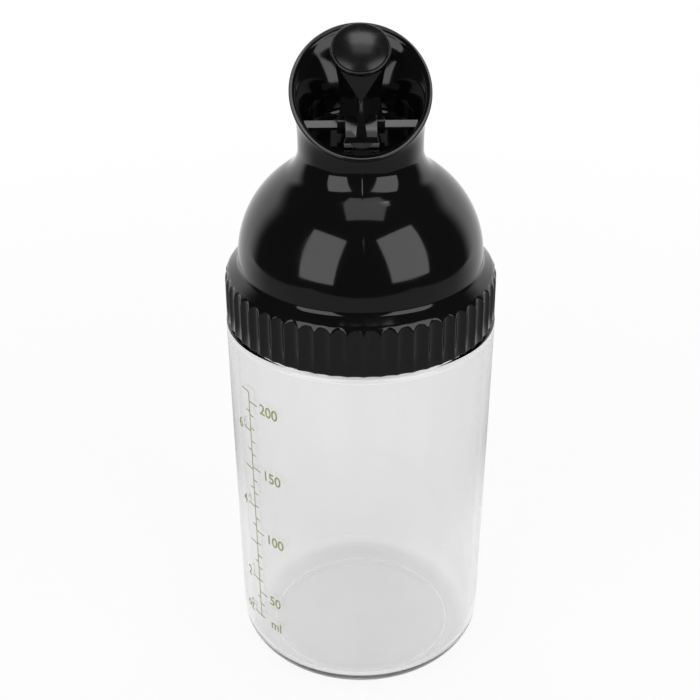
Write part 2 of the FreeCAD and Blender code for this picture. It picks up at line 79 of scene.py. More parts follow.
class Signal:
    """A shader socket that takes part in Python expressions; | gives the larger of two values."""

    def __init__(self, graph: "NodeGraph", socket: bpy.types.NodeSocket) -> None:
        """Keep the socket and the graph that it belongs to."""
        self.graph = graph
        self.socket = socket

    __add__ = __radd__ = math_operator("ADD")
    __rsub__ = math_operator("SUBTRACT", swapped=True)
    __mul__ = math_operator("MULTIPLY")
    __truediv__ = math_operator("DIVIDE")
    __pow__ = math_operator("POWER")
    __or__ = math_operator("MAXIMUM")


Value = Union[float, Signal]
Socket = Union[float, Sequence[float], Signal]


class NodeGraph:
    """The nodes of one material or of the world."""

    def __init__(self, owner: Union[bpy.types.Material, bpy.types.World]) -> None:
        """Empty the owner's node tree.

        Args:
            owner: The material or world whose nodes are made here.
        """
        owner.use_nodes = True
        self.tree = owner.node_tree
        self.tree.nodes.clear()

    def add(self, kind: str, settings: Mapping[str, Any], sockets: Mapping[Union[int, str], Socket],
            output: Union[int, str] = 0) -> Union[Signal, None]:
        """Add a node of any type.

        Args:
            kind: The node's type.
            settings: Its properties, set before its sockets.
            sockets: Values or links of its inputs, by name or number.
            output: The output to hand back.

        Returns:
            That output as a signal, or None if the node has no outputs.
        """
        node = self.tree.nodes.new(kind)
        for name, setting in settings.items():
            setattr(node, name, setting)
        for key, value in sockets.items():
            if isinstance(value, Signal):
                self.tree.links.new(value.socket, node.inputs[key])
            else:
                node.inputs[key].default_value = value
        return Signal(self, node.outputs[output]) if len(node.outputs) else None

    def object_coordinates(self) -> Signal:
        """Object coordinates, which are the part's own metres."""
        return self.add("ShaderNodeTexCoord", {}, {}, "Object")

    def part_of(self, vector: Signal, axis: str) -> Signal:
        """A vector's part along the axis with that letter."""
        return self.add("ShaderNodeSeparateXYZ", {}, {0: vector}, axis)

    def ray_is(self, kind: str) -> Signal:
        """1 for rays of a kind, otherwise 0."""
        return self.add("ShaderNodeLightPath", {}, {}, f"Is {kind} Ray")

    def noise(self, grain: float, detail: float = 2.0,
              stretch: Sequence[float] = (1.0, 1.0, 1.0)) -> Signal:
        """Cloudy noise from 0 to 1.

        Args:
            grain: Size of its clouds in metres.
            detail: How many finer layers it has.
            stretch: How many times longer the clouds are along each axis.

        Returns:
            The noise as a value.
        """
        scale = [1.0 / length for length in stretch]
        place = self.add("ShaderNodeMapping", {"vector_type": "POINT"},
                         {"Vector": self.object_coordinates(), "Scale": scale})
        return self.add("ShaderNodeTexNoise", {},
                        {"Vector": place, "Scale": 1.0 / grain, "Detail": detail})

    def step(self, value: Signal, low: float, high: float) -> Signal:
        """Smooth step of a value, from 0 at low to 1 at high."""
        return self.add("ShaderNodeMapRange", {"interpolation_type": "SMOOTHSTEP"},
                        {"Value": value, "From Min": low, "From Max": high})

    def blend(self, share: Value, first: Socket, second: Socket) -> Signal:
        """Mix two colours by the second one's share."""
        return self.add("ShaderNodeMix", {"data_type": "RGBA"}, {0: share, 6: first, 7: second}, 2)

    def bump(self, height: Signal, depth: float) -> Signal:
        """Turn a height from 0 to 1 into a normal, where 1 is this many metres deep."""
        return self.add("ShaderNodeBump", {}, {"Height": height, "Distance": depth}, "Normal")

    def finish_surface(self, sockets: Mapping[str, Socket]) -> None:
        """Close the tree with one principled shader that has these inputs."""
        shader = self.add("ShaderNodeBsdfPrincipled", {}, sockets)
        self.add("ShaderNodeOutputMaterial", {}, {"Surface": shader})


def opaque(colour: Colour) -> tuple[float, float, float, float]:
    """A colour with full alpha."""
    return (*colour, 1.0)


@dataclass(frozen=True)
class Finish:
    """How a surface looks."""

    name: str

    def draw(self, graph: NodeGraph) -> None:
        """Add the finish's nodes to an empty graph."""
        raise NotImplementedError

    def material(self) -> bpy.types.Material:
        """Make the material.

        Returns:
            The finished material.
        """
        material = bpy.data.materials.new(self.name)
        self.draw(NodeGraph(material))
        return material


@dataclass(frozen=True)
class MouldedPlastic(Finish):
    """Opaque moulded plastic: handled gloss, faint flow in its colour and a slightly wavy skin."""

    dark: Colour
    light: Colour
    roughness: float
    smudge: float
    smudge_size: float
    wave_depth: float
    grain_depth: float
    smudge_edge: Point = (0.45, 0.75)
    wave_size: float = 6 * MM
    grain_size: float = 0.25 * MM
    flow_size: float = 14 * MM
    flow_stretch: Place = (1.0, 1.0, 3.0)
    scuff_size: float = 0.4 * MM
    scuff_stretch: Place = (1.0, 1.0, 12.0)
    scuff_edge: Point = (0.62, 0.72)
    scuff_gain: float = 0.05

    def draw(self, graph: NodeGraph) -> None:
        """Draw flow in the colour, smudges and scuffs in the gloss, waves and grain in the skin.

        Args:
            graph: The material's empty graph.
        """
        flow = graph.noise(self.flow_size, stretch=self.flow_stretch)
        smudges = graph.step(graph.noise(self.smudge_size, FINE), *self.smudge_edge)
        scuffs = graph.step(graph.noise(self.scuff_size, BROAD, self.scuff_stretch), *self.scuff_edge)
        height = graph.noise(self.wave_size, BROAD) * (self.wave_depth / self.grain_depth)
        height = height + graph.noise(self.grain_size)
        graph.finish_surface({
            "Base Color": graph.blend(flow, opaque(self.dark), opaque(self.light)),
            "Roughness": self.roughness + smudges * self.smudge + scuffs * smudges * self.scuff_gain,
            "Normal": graph.bump(height, self.grain_depth),
        })


@dataclass(frozen=True)
class ClearPlastic(Finish):
    """Clear moulded plastic: slightly grey, with faint flow lines and handling haze."""

    name: str = "clear_moulded_plastic"
    thin: Colour = (0.955, 0.958, 0.955)
    thick: Colour = (0.91, 0.914, 0.91)
    refraction: float = 1.57
    roughness: float = 0.012
    haze: float = 0.02
    haze_size: float = 16 * MM
    haze_edge: Point = (0.5, 0.8)
    wave_size: float = 9 * MM
    wave_stretch: Place = (1.0, 1.0, 4.0)
    wave_depth: float = 0.004 * MM

    def draw(self, graph: NodeGraph) -> None:
        """Draw flow in the colour and the skin, and haze in the gloss.

        Args:
            graph: The material's empty graph.
        """
        haze = graph.step(graph.noise(self.haze_size, FINE), *self.haze_edge)
        flow = graph.noise(self.wave_size, BROAD, self.wave_stretch)
        graph.finish_surface({
            "Base Color": graph.blend(flow, opaque(self.thin), opaque(self.thick)),
            "Roughness": self.roughness + haze * self.haze,
            "Normal": graph.bump(flow, self.wave_depth),
            "IOR": self.refraction,
            "Transmission Weight": 1.0,
        })


@dataclass(frozen=True)
class Silicone(Finish):
    """Soft dark silicone with a dusty skin."""

    name: str = "dark_silicone"
    dark: Colour = (0.02, 0.02, 0.02)
    light: Colour = (0.035, 0.035, 0.034)
    roughness: float = 0.5
    dust: float = 0.15
    dust_size: float = 1.5 * MM
    grain_size: float = 0.15 * MM
    grain_depth: float = 0.01 * MM

    def draw(self, graph: NodeGraph) -> None:
        """Draw dust in the colour and the gloss, and grain in the skin.

        Args:
            graph: The material's empty graph.
        """
        dust = graph.noise(self.dust_size, FINE)
        graph.finish_surface({
            "Base Color": graph.blend(dust, opaque(self.dark), opaque(self.light)),
            "Roughness": self.roughness + dust * self.dust,
            "Normal": graph.bump(graph.noise(self.grain_size), self.grain_depth),
        })


@dataclass(frozen=True)
class Ink(Finish):
    """Matt printing ink, worn a little thin in places."""

    name: str = "scale_ink"
    full: Colour = (0.28, 0.31, 0.11)
    worn: Colour = (0.39, 0.42, 0.21)
    wear_size: float = 1.2 * MM
    wear_edge: Point = (0.45, 0.75)
    roughness: float = 0.45
    spread: float = 0.1

    def draw(self, graph: NodeGraph) -> None:
        """Draw wear in the colour and the gloss.

        Args:
            graph: The material's empty graph.
        """
        wear = graph.step(graph.noise(self.wear_size, FINE), *self.wear_edge)
        graph.finish_surface({
            "Base Color": graph.blend(wear, opaque(self.full), opaque(self.worn)),
            "Roughness": self.roughness + wear * self.spread,
        })


@dataclass(frozen=True)
class FloorPaint(Finish):
    """Pale floor: white to the camera with a soft shadow, and dim at the front where it is mirrored."""

    name: str = "studio_floor"
    colour: Colour = (0.86, 0.86, 0.86)
    speckle: Colour = (0.82, 0.82, 0.82)
    speckle_size: float = 4 * MM
    speckle_detail: float = 3.0
    roughness: float = 0.8
    shadow_share: float = 0.09
    shadow_through: float = 0.4
    front_glow: Colour = (0.3, 0.3, 0.3)
    glow_edge: Point = (-0.02, 0.25)
    near_edge: Point = (0.06, 0.11)
    fade_edge: Point = (0.12, 0.4)

    def draw(self, graph: NodeGraph) -> None:
        """Mix the paint, which takes shadow, with a glow by the kind of ray and the place.

        Args:
            graph: The material's empty graph.
        """
        speckle = graph.noise(self.speckle_size, self.speckle_detail)
        paint = graph.add("ShaderNodeBsdfPrincipled", {}, {
            "Base Color": graph.blend(speckle, opaque(self.colour), opaque(self.speckle)),
            "Roughness": self.roughness,
        })
        place = graph.object_coordinates()
        across = graph.part_of(place, "X")
        along = graph.part_of(place, "Y")
        distance = (across * across + along * along) ** 0.5
        away = graph.step(distance, *self.near_edge)
        shadow = (1 - graph.step(distance, *self.fade_edge)) * self.shadow_share
        seen = graph.ray_is("Camera")
        through = graph.ray_is("Transmission")
        mirrored = graph.ray_is("Glossy") * (1 - through)
        in_front = mirrored * away * (1 - graph.step(along, *self.glow_edge))
        colour = graph.blend(in_front, WHITE, opaque(self.front_glow))
        glow = graph.add("ShaderNodeEmission", {}, {"Color": colour, "Strength": 1.0})
        share = seen * (1 - shadow) | through * (1 - self.shadow_through) | mirrored
        surface = graph.add("ShaderNodeMixShader", {}, {0: share, 1: paint, 2: glow})
        graph.add("ShaderNodeOutputMaterial", {}, {"Surface": surface})


GLOSS_BLACK = MouldedPlastic(
    name="gloss_black_plastic", dark=(0.0022, 0.0022, 0.0024), light=(0.0036, 0.0036, 0.0039),
    roughness=0.075, smudge=0.05, smudge_size=9 * MM, wave_depth=0.004 * MM, grain_depth=0.0004 * MM)
SATIN_BLACK = MouldedPlastic(
    name="satin_black_plastic", dark=(0.0045, 0.0045, 0.0048), light=(0.0065, 0.0065, 0.0069),
    roughness=0.22, smudge=0.08, smudge_size=3 * MM, wave_depth=0.003 * MM, grain_depth=0.001 * MM)


class Body(Enum):
    """The frame's bodies that pieces ride on."""

    BOTTLE = "bottle"
    LID = "lid"
    LEVER = "lever"


class Slot(Enum):
    """The record's material slots."""

    CLEAR = "clear_plastic"
    BLACK = "black_plastic"
    PAD = "pad_plastic"


@dataclass(frozen=True)
class Corner:
    """A corner of a section and the rounding that it gets."""

    across: float
    height: float
    rounding: float = 0.0


def trace_section(corners: Sequence[Corner], chord: float = math.radians(10),
                  guard: float = 0.25 * MM) -> list[Point]:
    """Follow a section's corners, rounding them and guarding each long flat with a point near its ends.

    Args:
        corners: The section from its first point to its last.
        chord: Largest turn from one point of a rounding to the next.
        guard: How far from a flat's ends its guard points lie.

    Returns:
        The section's points in order.
    """
    places = [Vector((corner.across, corner.height)) for corner in corners]
    points = [places[0]]
    for before, corner, place, after in zip(places, corners[1:-1], places[1:], places[2:]):
        way_in = (place - before).normalized()
        turn = way_in.angle_signed((after - place).normalized())
        steps = math.ceil(abs(turn) / chord) if corner.rounding else 0
        side = Vector((way_in.y, -way_in.x)) * math.copysign(corner.rounding, turn)
        start = place - way_in * corner.rounding * math.tan(abs(turn) / 2)
        for step in range(steps + 1):
            spoke = Matrix.Rotation(-turn * step / max(steps, 1), 2) @ -side
            points.append(start + side + spoke)
    points.append(places[-1])
    guarded = [points[0]]
    for start, end in zip(points, points[1:]):
        run = (end - start).length
        if run > 4 * guard:
            guarded.append(start.lerp(end, guard / run))
            guarded.append(end.lerp(start, guard / run))
        guarded.append(end)
    return [(point.x, point.y) for point in guarded]


def in_mm(*points: Sequence[float]) -> tuple[tuple[float, ...], ...]:
    """Points that are given in millimetres."""
    return tuple(tuple(value * MM for value in point) for point in points)


def arc_points(middle: Point, radius: float, start: float, end: float, steps: int) -> list[Point]:
    """Points along an arc between two angles in degrees, ends included."""
    angles = [math.radians(start + (end - start) * step / steps) for step in range(steps + 1)]
    return [(middle[0] + radius * math.cos(angle), middle[1] + radius * math.sin(angle))
            for angle in angles]


def even_shares(steps: int) -> list[float]:
    """Even shares from 0 to 1, ends included."""
    return [step / steps for step in range(steps + 1)]


def rounded(start: Vector, corner: Vector, end: Vector, share: float) -> Vector:
    """A point a share of the way along the curve that leaves start, cuts the corner and joins end."""
    return start.lerp(corner, share).lerp(corner.lerp(end, share), share)


def polar(radius: float, angle: float, height: float, middle: float = 0.0) -> Vector:
    """A point of a level circle, at an angle from the front towards +X; its middle may lie along Y."""
    return Vector((radius * math.sin(angle), middle - radius * math.cos(angle), height))


def clear_selection() -> None:
    """Leave edit mode and deselect everything."""
    if bpy.context.mode != "OBJECT":
        bpy.ops.object.mode_set(mode="OBJECT")
    bpy.ops.object.select_all(action="DESELECT")


class Workpiece:
    """A mesh in the making: the active object, in edit mode between its steps."""

    WELD = 0.001 * MM
    STEP = 1.0 * MM

    def __init__(self, name: str) -> None:
        """Take up the primitive that was just added, with its place moved into its mesh.

        Args:
            name: The piece's name.
        """
        self.object = bpy.context.object
        self.object.name = name
        bpy.ops.object.transform_apply(location=True, rotation=True, scale=True)
        self.edit()

    @classmethod
    def chain(cls, name: str, places: Sequence[Sequence[float]]) -> "Workpiece":
        """Draw a chain of edges from point to point.

        Args:
            name: The piece's name.
            places: The chain's points.

        Returns:
            The chain, in edit mode with everything selected.
        """
        clear_selection()
        bpy.ops.mesh.primitive_plane_add(size=cls.STEP)
        piece = cls(name)
        bpy.ops.mesh.merge(type="CENTER")
        bpy.ops.transform.translate(value=places[0])
        for start, end in zip(places, places[1:]):
            piece.extrude(Vector(end) - Vector(start))
        bpy.ops.mesh.select_all(action="SELECT")
        return piece

    @classmethod
    def turned(cls, name: str, section: Sequence[Point], steps: int) -> "Workpiece":
        """Turn a section about the upright axis.

        Args:
            name: The piece's name.
            section: Points as distance from the axis and height.
            steps: How many flats the turned shape has around it.

        Returns:
            The turned piece, closed.
        """
        piece = cls.chain(name, [(across, 0.0, height) for across, height in section])
        bpy.ops.mesh.spin(steps=steps, angle=FULL_TURN, center=(0.0, 0.0, 0.0), axis=(0.0, 0.0, 1.0))
        piece.close()
        return piece

    @classmethod
    def slab(cls, name: str, outline: Sequence[Point], half_width: float) -> "Workpiece":
        """Draw an outline on the upright middle plane and give it an even width.

        Args:
            name: The piece's name.
            outline: Points as place along Y and height.
            half_width: Half of its width along X.

        Returns:
            The slab, closed.
        """
        piece = cls.chain(name, [(-half_width, along, height) for along, height in outline])
        bpy.ops.mesh.edge_face_add()
        piece.extrude((2 * half_width, 0.0, 0.0))
        piece.close()
        return piece

    @classmethod
    def sleeve(cls, name: str, columns: int, rows: Sequence[Row], joined: bool) -> "Workpiece":
        """Extrude a ring of points row by row, then set each row in its place.

        Args:
            name: The piece's name.
            columns: How many points a row has, counted from the front towards +X.
            rows: What gives each row's points by column.
            joined: Whether the last row is the first one again; otherwise both ends are filled.

        Returns:
            The sleeve, closed.
        """
        clear_selection()
        bpy.ops.mesh.primitive_circle_add(vertices=columns, radius=cls.STEP)
        piece = cls(name)
        for _ in rows[1:]:
            piece.extrude((0.0, 0.0, cls.STEP))

        def place(point: Vector) -> Vector:
            """Where the ring's point belongs."""
            turn = math.atan2(point.x, -point.y) / FULL_TURN
            return rows[round(point.z / cls.STEP)](round(turn * columns) % columns)

        piece.move(place)
        if not joined:
            bpy.ops.mesh.select_all(action="SELECT")
            bpy.ops.mesh.fill_holes(sides=columns)
        piece.close()
        return piece

    def edit(self) -> None:
        """Go into edit mode with everything selected."""
        bpy.ops.object.mode_set(mode="EDIT")
        bpy.ops.mesh.select_all(action="SELECT")

    def move(self, place: Callable[[Vector], Vector]) -> None:
        """Set every point in its place.

        Args:
            place: Gives a point's new place from its old one.
        """
        bpy.ops.object.mode_set(mode="OBJECT")
        for vertex in self.object.data.vertices:
            vertex.co = place(vertex.co)
        self.edit()

    def select(self, test: Callable[[Vector], bool]) -> None:
        """Select the points that pass a test of their place.

        Args:
            test: Says whether the point at a place is selected.
        """
        bpy.ops.mesh.select_mode(type="VERT")
        bpy.ops.mesh.select_all(action="DESELECT")
        bpy.ops.object.mode_set(mode="OBJECT")
        for vertex in self.object.data.vertices:
            vertex.select = test(vertex.co)
        bpy.ops.object.mode_set(mode="EDIT")

    def extrude(self, step: Sequence[float]) -> None:
        """Extrude the selection by a step."""
        bpy.ops.mesh.extrude_region_move(TRANSFORM_OT_translate={"value": step})

    def stretch(self, factors: Sequence[float], middle: Sequence[float]) -> None:
        """Scale the selection about a point."""
        bpy.ops.transform.resize(value=factors, center_override=middle)

    def turn_to(self, axis: str, angle: float, place: Sequence[float]) -> None:
        """Turn the whole piece about the origin and carry it to its place.

        Args:
            axis: Letter of the axis.
            angle: The turn by the right hand; the operator turns the other way.
            place: Where the origin goes.
        """
        bpy.ops.mesh.select_all(action="SELECT")
        bpy.ops.transform.rotate(value=-angle, orient_axis=axis, center_override=(0.0, 0.0, 0.0))
        bpy.ops.transform.translate(value=place)

    def soften(self, width: float, segments: int, sharper_than: float) -> None:
        """Bevel the piece's sharp edges.

        Args:
            width: Width of the bevel.
            segments: How many faces it has.
            sharper_than: Edges that turn by more than this angle are bevelled.
        """
        bpy.ops.mesh.select_mode(type="EDGE")
        bpy.ops.mesh.select_all(action="DESELECT")
        bpy.ops.mesh.edges_select_sharp(sharpness=sharper_than)
        bpy.ops.mesh.bevel(offset=width, segments=segments, affect="EDGES", clamp_overlap=True)
        self.close()

    def close(self) -> None:
        """Weld seams and poles and point the faces outwards."""
        bpy.ops.mesh.select_mode(type="VERT")
        bpy.ops.mesh.select_all(action="SELECT")
        bpy.ops.mesh.remove_doubles(threshold=self.WELD)
        bpy.ops.mesh.normals_make_consistent(inside=False)

    def activate(self) -> None:
        """Leave edit mode with this piece alone selected and active."""
        clear_selection()
        self.object.select_set(True)
        bpy.context.view_layer.objects.active = self.object

    def modify(self, kind: str, **settings: Any) -> None:
        """Add a modifier, set it, apply it and go back to edit mode.

        Args:
            kind: The modifier's type.
            settings: Its properties.
        """
        self.activate()
        bpy.ops.object.modifier_add(type=kind)
        modifier = self.object.modifiers[-1]
        for name, setting in settings.items():
            setattr(modifier, name, setting)
        bpy.ops.object.modifier_apply(modifier=modifier.name)
        self.edit()

    def unite(self, other: "Workpiece") -> None:
        """Make another piece one with this one.

        Args:
            other: The piece, which is used up.
        """
        self.modify("BOOLEAN", operation="UNION", object=other.object, solver="EXACT")
        bpy.data.objects.remove(other.object)
        self.close()

    def join(self, others: Sequence["Workpiece"]) -> None:
        """Take other pieces' meshes into this one as they are.

        Args:
            others: The pieces, which are used up.
        """
        self.activate()
        for other in others:
            other.object.select_set(True)
        bpy.ops.object.join()
        self.edit()

    def attach(self, material: bpy.types.Material, body: Body, slot: Union[Slot, None], node: str = "",
               smooth_below: float = math.radians(35)) -> None:
        """Smooth the finished piece, dress it and let it ride on its body.

        Args:
            material: Its finish.
            body: The body that it moves with.
            slot: The record's slot that its finish belongs to; not used.
            node: The frame's node that it stands for.
            smooth_below: Edges that turn by more than this angle stay sharp.
        """
        self.activate()
        bpy.ops.object.shade_smooth_by_angle(angle=smooth_below)
        self.object.data.materials.clear()
        self.object.data.materials.append(material)
        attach(self.object, body.value)
        if node:
            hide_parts(node)
        LOG.info("%s: %d faces on %s", self.object.name, len(self.object.data.polygons), body.value)


@dataclass(frozen=True)
class Thread:
    """The screw thread's ridge, which the neck carries outside and the lid inside."""

    lead: float = 5.0 * MM
    root_width: float = 1.8 * MM
    crest_width: float = 0.9 * MM
    sink: float = 0.3 * MM
    steps_per_turn: int = 96

    def ridge(self, name: str, wall: float, crest: float, middle: float, turns: float) -> Workpiece:
        """Sweep the ridge, its foot sunk a little into the wall that carries it.

        Args:
            name: The piece's name.
            wall: Radius of that wall.
            crest: Radius of the ridge's crest.
            middle: Height of its first section's middle.
            turns: How many turns it makes.

        Returns:
            The ridge, closed.
        """
        foot = wall - math.copysign(self.sink, crest - wall)
        corners = [(foot, -self.root_width), (crest, -self.crest_width), (crest, self.crest_width),
                   (foot, self.root_width), (foot, -self.root_width)]
        ridge = Workpiece.chain(name, [(across, 0.0, middle + width / 2) for across, width in corners])
        bpy.ops.mesh.remove_doubles(threshold=Workpiece.WELD)
        steps = round(self.steps_per_turn * turns)
        ridge.modify("SCREW", axis="Z", angle=FULL_TURN * turns, screw_offset=self.lead * turns,
                     steps=steps, render_steps=steps, use_merge_vertices=False)
        bpy.ops.mesh.fill_holes(sides=4)
        ridge.close()
        return ridge


@dataclass
class Bottle:
    """The clear tumbler with its foot, shoulder and threaded neck."""

    body_radius: float = 31.6 * MM
    base_radius: float = 30.2 * MM
    body_height: float = 92.0 * MM
    wall: float = 2.0 * MM
    floor: float = 3.0 * MM
    base_corner: float = 8.0 * MM
    inner_corner: float = 4.5 * MM
    foot_edge: float = 22.0 * MM
    foot_slope: float = 2.6 * MM
    foot_recess: float = 0.3 * MM
    foot_round: float = 10.0 * MM
    neck_crease: float = 0.25 * MM
    shelf: float = 1.3 * MM
    shoulder_edge: float = 0.8 * MM
    throat_blend: float = 1.2 * MM
    neck_radius: float = 27.7 * MM
    neck_height: float = 10.5 * MM
    neck_edge: float = 0.6 * MM
    thread_start: float = 3.75 * MM
    thread_depth: float = 1.0 * MM
    thread_turns: float = 1.1
    steps: int = 288

    def radius_at(self, height: float) -> float:
        """Outer radius of the tapered wall at a height."""
        return self.base_radius + (self.body_radius - self.base_radius) * height / self.body_height

    def section(self) -> list[Corner]:
        """Corners of the wall's section.

        Returns:
            The corners from the foot's middle round to the inside floor's middle.
        """
        top = self.body_height
        rim = top + self.neck_height
        ceiling = top - self.shelf
        throat = self.neck_radius - self.wall
        return [
            Corner(0.0, self.foot_recess),
            Corner(self.foot_edge - self.foot_slope, self.foot_recess, self.foot_round),
            Corner(self.foot_edge, 0.0, self.foot_round),
            Corner(self.base_radius, 0.0, self.base_corner),
            Corner(self.body_radius, top, self.shoulder_edge),
            Corner(self.neck_radius, top, self.neck_crease),
            Corner(self.neck_radius, rim, self.neck_edge),
            Corner(throat, rim, self.neck_edge),
            Corner(throat, ceiling, self.throat_blend),
            Corner(self.radius_at(ceiling) - self.wall, ceiling, self.throat_blend),
            Corner(self.radius_at(self.floor) - self.wall, self.floor, self.inner_corner),
            Corner(0.0, self.floor),
        ]

    def build(self, material: bpy.types.Material) -> None:
        """Turn the tumbler, add its thread and dress it.

        Args:
            material: The clear plastic.
        """
        shell = Workpiece.turned("bottle_shell", trace_section(self.section()), self.steps)
        shell.unite(Thread().ridge("bottle_thread", self.neck_radius, self.neck_radius + self.thread_depth,
                                   self.body_height + self.thread_start, self.thread_turns))
        shell.attach(material, Body.BOTTLE, Slot.CLEAR, "bottle")


@dataclass
class LidShell:
    """The one-piece lid: fluted collar, dome, neck, slanted spout and its floor with the pour hole.

    Its mesh is a sleeve of level or slanted rows, and each row gives a point for each column round it.
    """

    base: float = 92.5 * MM
    skirt_radius: float = 29.1 * MM
    ledge: float = 104.2 * MM
    bore: float = 26.25 * MM
    collar_radius: float = 31.45 * MM
    collar_edge: float = 0.5 * MM
    round_middle: Point = (27.95 * MM, 102.22 * MM)
    round_radius: float = 3.5 * MM
    round_end: float = 50.4
    flute_count: int = 54
    flute_radius: float = 2.3 * MM
    flute_depth: float = 0.7 * MM
    flute_softness: float = 0.15 * MM
    flute_foot: float = 0.4
    flute_fade: float = 4.0 * MM
    fade_shares: tuple[float, ...] = (0.1, 0.3, 0.5, 0.7, 0.9, 1.0)
    skirt_guard: float = 0.15 * MM
    edge_guard: float = 0.1 * MM
    arch_width: float = 0.3 * MM
    arch_inset: float = 0.06 * MM
    sector_shares: tuple[float, ...] = (0.0, 0.05, 0.09, 0.17, 0.32, 0.5, 0.68, 0.83, 0.91, 0.95)
    crease_middle: Point = (29.847 * MM, 107.271 * MM)
    crease_radius: float = 1.6 * MM
    dome_middle: Point = (4.45 * MM, 107.7 * MM)
    dome_radius: float = 23.8 * MM
    dome_angles: Point = (-0.968, 57.4)
    wall: float = 2.0 * MM
    blend_middle: Point = (21.05 * MM, 133.64 * MM)
    blend_radius: float = 7.0 * MM
    neck_radius: float = 14.05 * MM
    spout_base: float = 134.04 * MM
    rim_height: float = 145.4 * MM
    rim_slope: float = math.tan(math.radians(31.35))
    rim_half_width: float = 15.9 * MM
    rim_half_run: float = 16.3 * MM
    rim_forward: float = 1.75 * MM
    flare_power: float = 3.0
    lip_width: float = 1.5 * MM
    lip_round: float = 0.6 * MM
    lip_drop: float = 0.35 * MM
    lip_probe: float = 0.01
    low_wall_share: float = 0.45
    mouth_radius: float = 12.05 * MM
    mouth_flare: float = 2.5
    mouth_shares: tuple[float, ...] = (0.03, 0.08, 0.14, 0.21, 0.29, 0.38, 0.48, 0.6, 0.72, 0.84, 0.96)
    floor_height: float = 136.8 * MM
    floor_blend: float = 1.2 * MM
    floor_shares: tuple[float, ...] = (0.04, 0.35, 0.7, 0.96, 1.0)
    under_floor: float = 134.8 * MM
    under_shares: tuple[float, ...] = (0.05, 0.5, 0.95, 1.0)
    hole_y: float = -6.2 * MM
    hole_radius: float = 2.2 * MM
    seat_depth: float = 0.9 * MM
    parting_height: float = 0.051 * MM
    thread_depth: float = 1.1 * MM
    thread_middle: float = 93.6 * MM
    thread_turns: float = 1.0

    def angle(self, column: int) -> float:
        """Angle of a column of points from the front; columns crowd together at the flutes' ridges."""
        sector, step = divmod(column, len(self.sector_shares))
        return (sector + self.sector_shares[step]) * FULL_TURN / self.flute_count

    def columns(self) -> int:
        """How many columns of points go round the lid."""
        return self.flute_count * len(self.sector_shares)

    def fluted_radius(self, column: int) -> float:
        """Radius of the fluted wall, with softened ridges.

        Args:
            column: The column.

        Returns:
            The radius there.
        """
        share = self.sector_shares[column % len(self.sector_shares)]
        turn = (share - 0.5) * FULL_TURN / self.flute_count
        middle = self.collar_radius + self.flute_radius - self.flute_depth
        across = middle * math.sin(turn)
        groove = middle * math.cos(turn) - math.sqrt(self.flute_radius ** 2 - across ** 2)
        soft = self.flute_softness
        return groove - soft * math.log1p(math.exp((groove - self.collar_radius) / soft))

    def at(self, radius: float, height: float, column: int) -> Vector:
        """A point of a level round row, raised a little on the parting line.

        Args:
            radius: Distance from the axis.
            height: Height of the row.
            column: The point's column.

        Returns:
            The point.
        """
        if column % (self.columns() // 2) == 0 and radius > self.neck_radius - self.wall / 2:
            radius += self.parting_height
        return polar(radius, self.angle(column), height)

    def fluted(self, inset: float, height: float, depth: float, column: int) -> Vector:
        """A point of a level row that follows the flutes, inside them and at a share of their depth."""
        radius = self.collar_radius - inset - depth * (self.collar_radius - self.fluted_radius(column))
        return self.at(radius, height, column)

    def arch_angle(self, radius: float) -> float:
        """Angle on the collar's rounding where it has come in to a radius."""
        return math.acos(min(1.0, (radius - self.round_middle[0]) / self.round_radius))

    def arch(self, drop: float, inset: float, column: int) -> Vector:
        """A point of a row below the arched ends of the flutes.

        Args:
            drop: How far below the ends it runs.
            inset: How far inside the fluted wall it lies.
            column: The point's column.

        Returns:
            The point.
        """
        radius = self.fluted_radius(column)
        rise = self.round_radius * math.sin(self.arch_angle(radius))
        return self.at(radius - inset, self.round_middle[1] + rise - drop, column)

    def rounding(self, share: float, column: int) -> Vector:
        """A point of a row on the collar's rounding above the flutes' ends.

        Args:
            share: How far it is from those ends to the crease under the dome.
            column: The point's column.

        Returns:
            The point.
        """
        start = self.arch_angle(self.fluted_radius(column)) + self.arch_width / self.round_radius
        angle = start + (math.radians(self.round_end) - start) * share
        radius = self.round_middle[0] + self.round_radius * math.cos(angle)
        return self.at(radius, self.round_middle[1] + self.round_radius * math.sin(angle), column)

    def spout(self, share: float, column: int, inset: float = 0.0) -> Vector:
        """A point on the spout's outside.

        Args:
            share: How far up it is, from the round neck at 0 to the slanted rim at 1.
            column: The point's column.
            inset: How far inside the outline it lies, in the plane of its slice.

        Returns:
            The point.
        """
        growth = share ** self.flare_power
        slope = self.rim_slope * share
        lean = math.hypot(1.0, slope)
        half_width = self.neck_radius + (self.rim_half_width - self.neck_radius) * growth - inset
        half_length = (self.neck_radius + (self.rim_half_run - self.neck_radius) * growth) * lean - inset
        middle = self.rim_forward * growth
        along = middle - half_length * math.cos(self.angle(column)) / lean
        height = self.spout_base + (self.rim_height - self.spout_base) * share + slope * along
        return Vector((half_width * math.sin(self.angle(column)), along, height))

    def spout_wall(self, share: float, column: int) -> Vector:
        """A point on the spout's outside, between the neck and where the rounded lip starts."""
        rise = (self.spout(1.0, column) - self.spout(1.0 - self.lip_probe, column)).length / self.lip_probe
        return self.spout((1.0 - self.lip_round / rise) * share, column)

    def lip(self, inset: float, column: int) -> Vector:
        """A point on the lip's top, which falls a little towards the inside."""
        fall = Vector((0.0, self.rim_slope, -1.0)).normalized() * self.lip_drop
        return self.spout(1.0, column, inset) + fall * (inset / self.lip_width)

    def outer_lip(self, share: float, column: int) -> Vector:
        """A point over the outer half of the rounded lip, going up."""
        top = self.lip(self.lip_round, column)
        return rounded(self.spout_wall(1.0, column), self.spout(1.0, column), top, share)

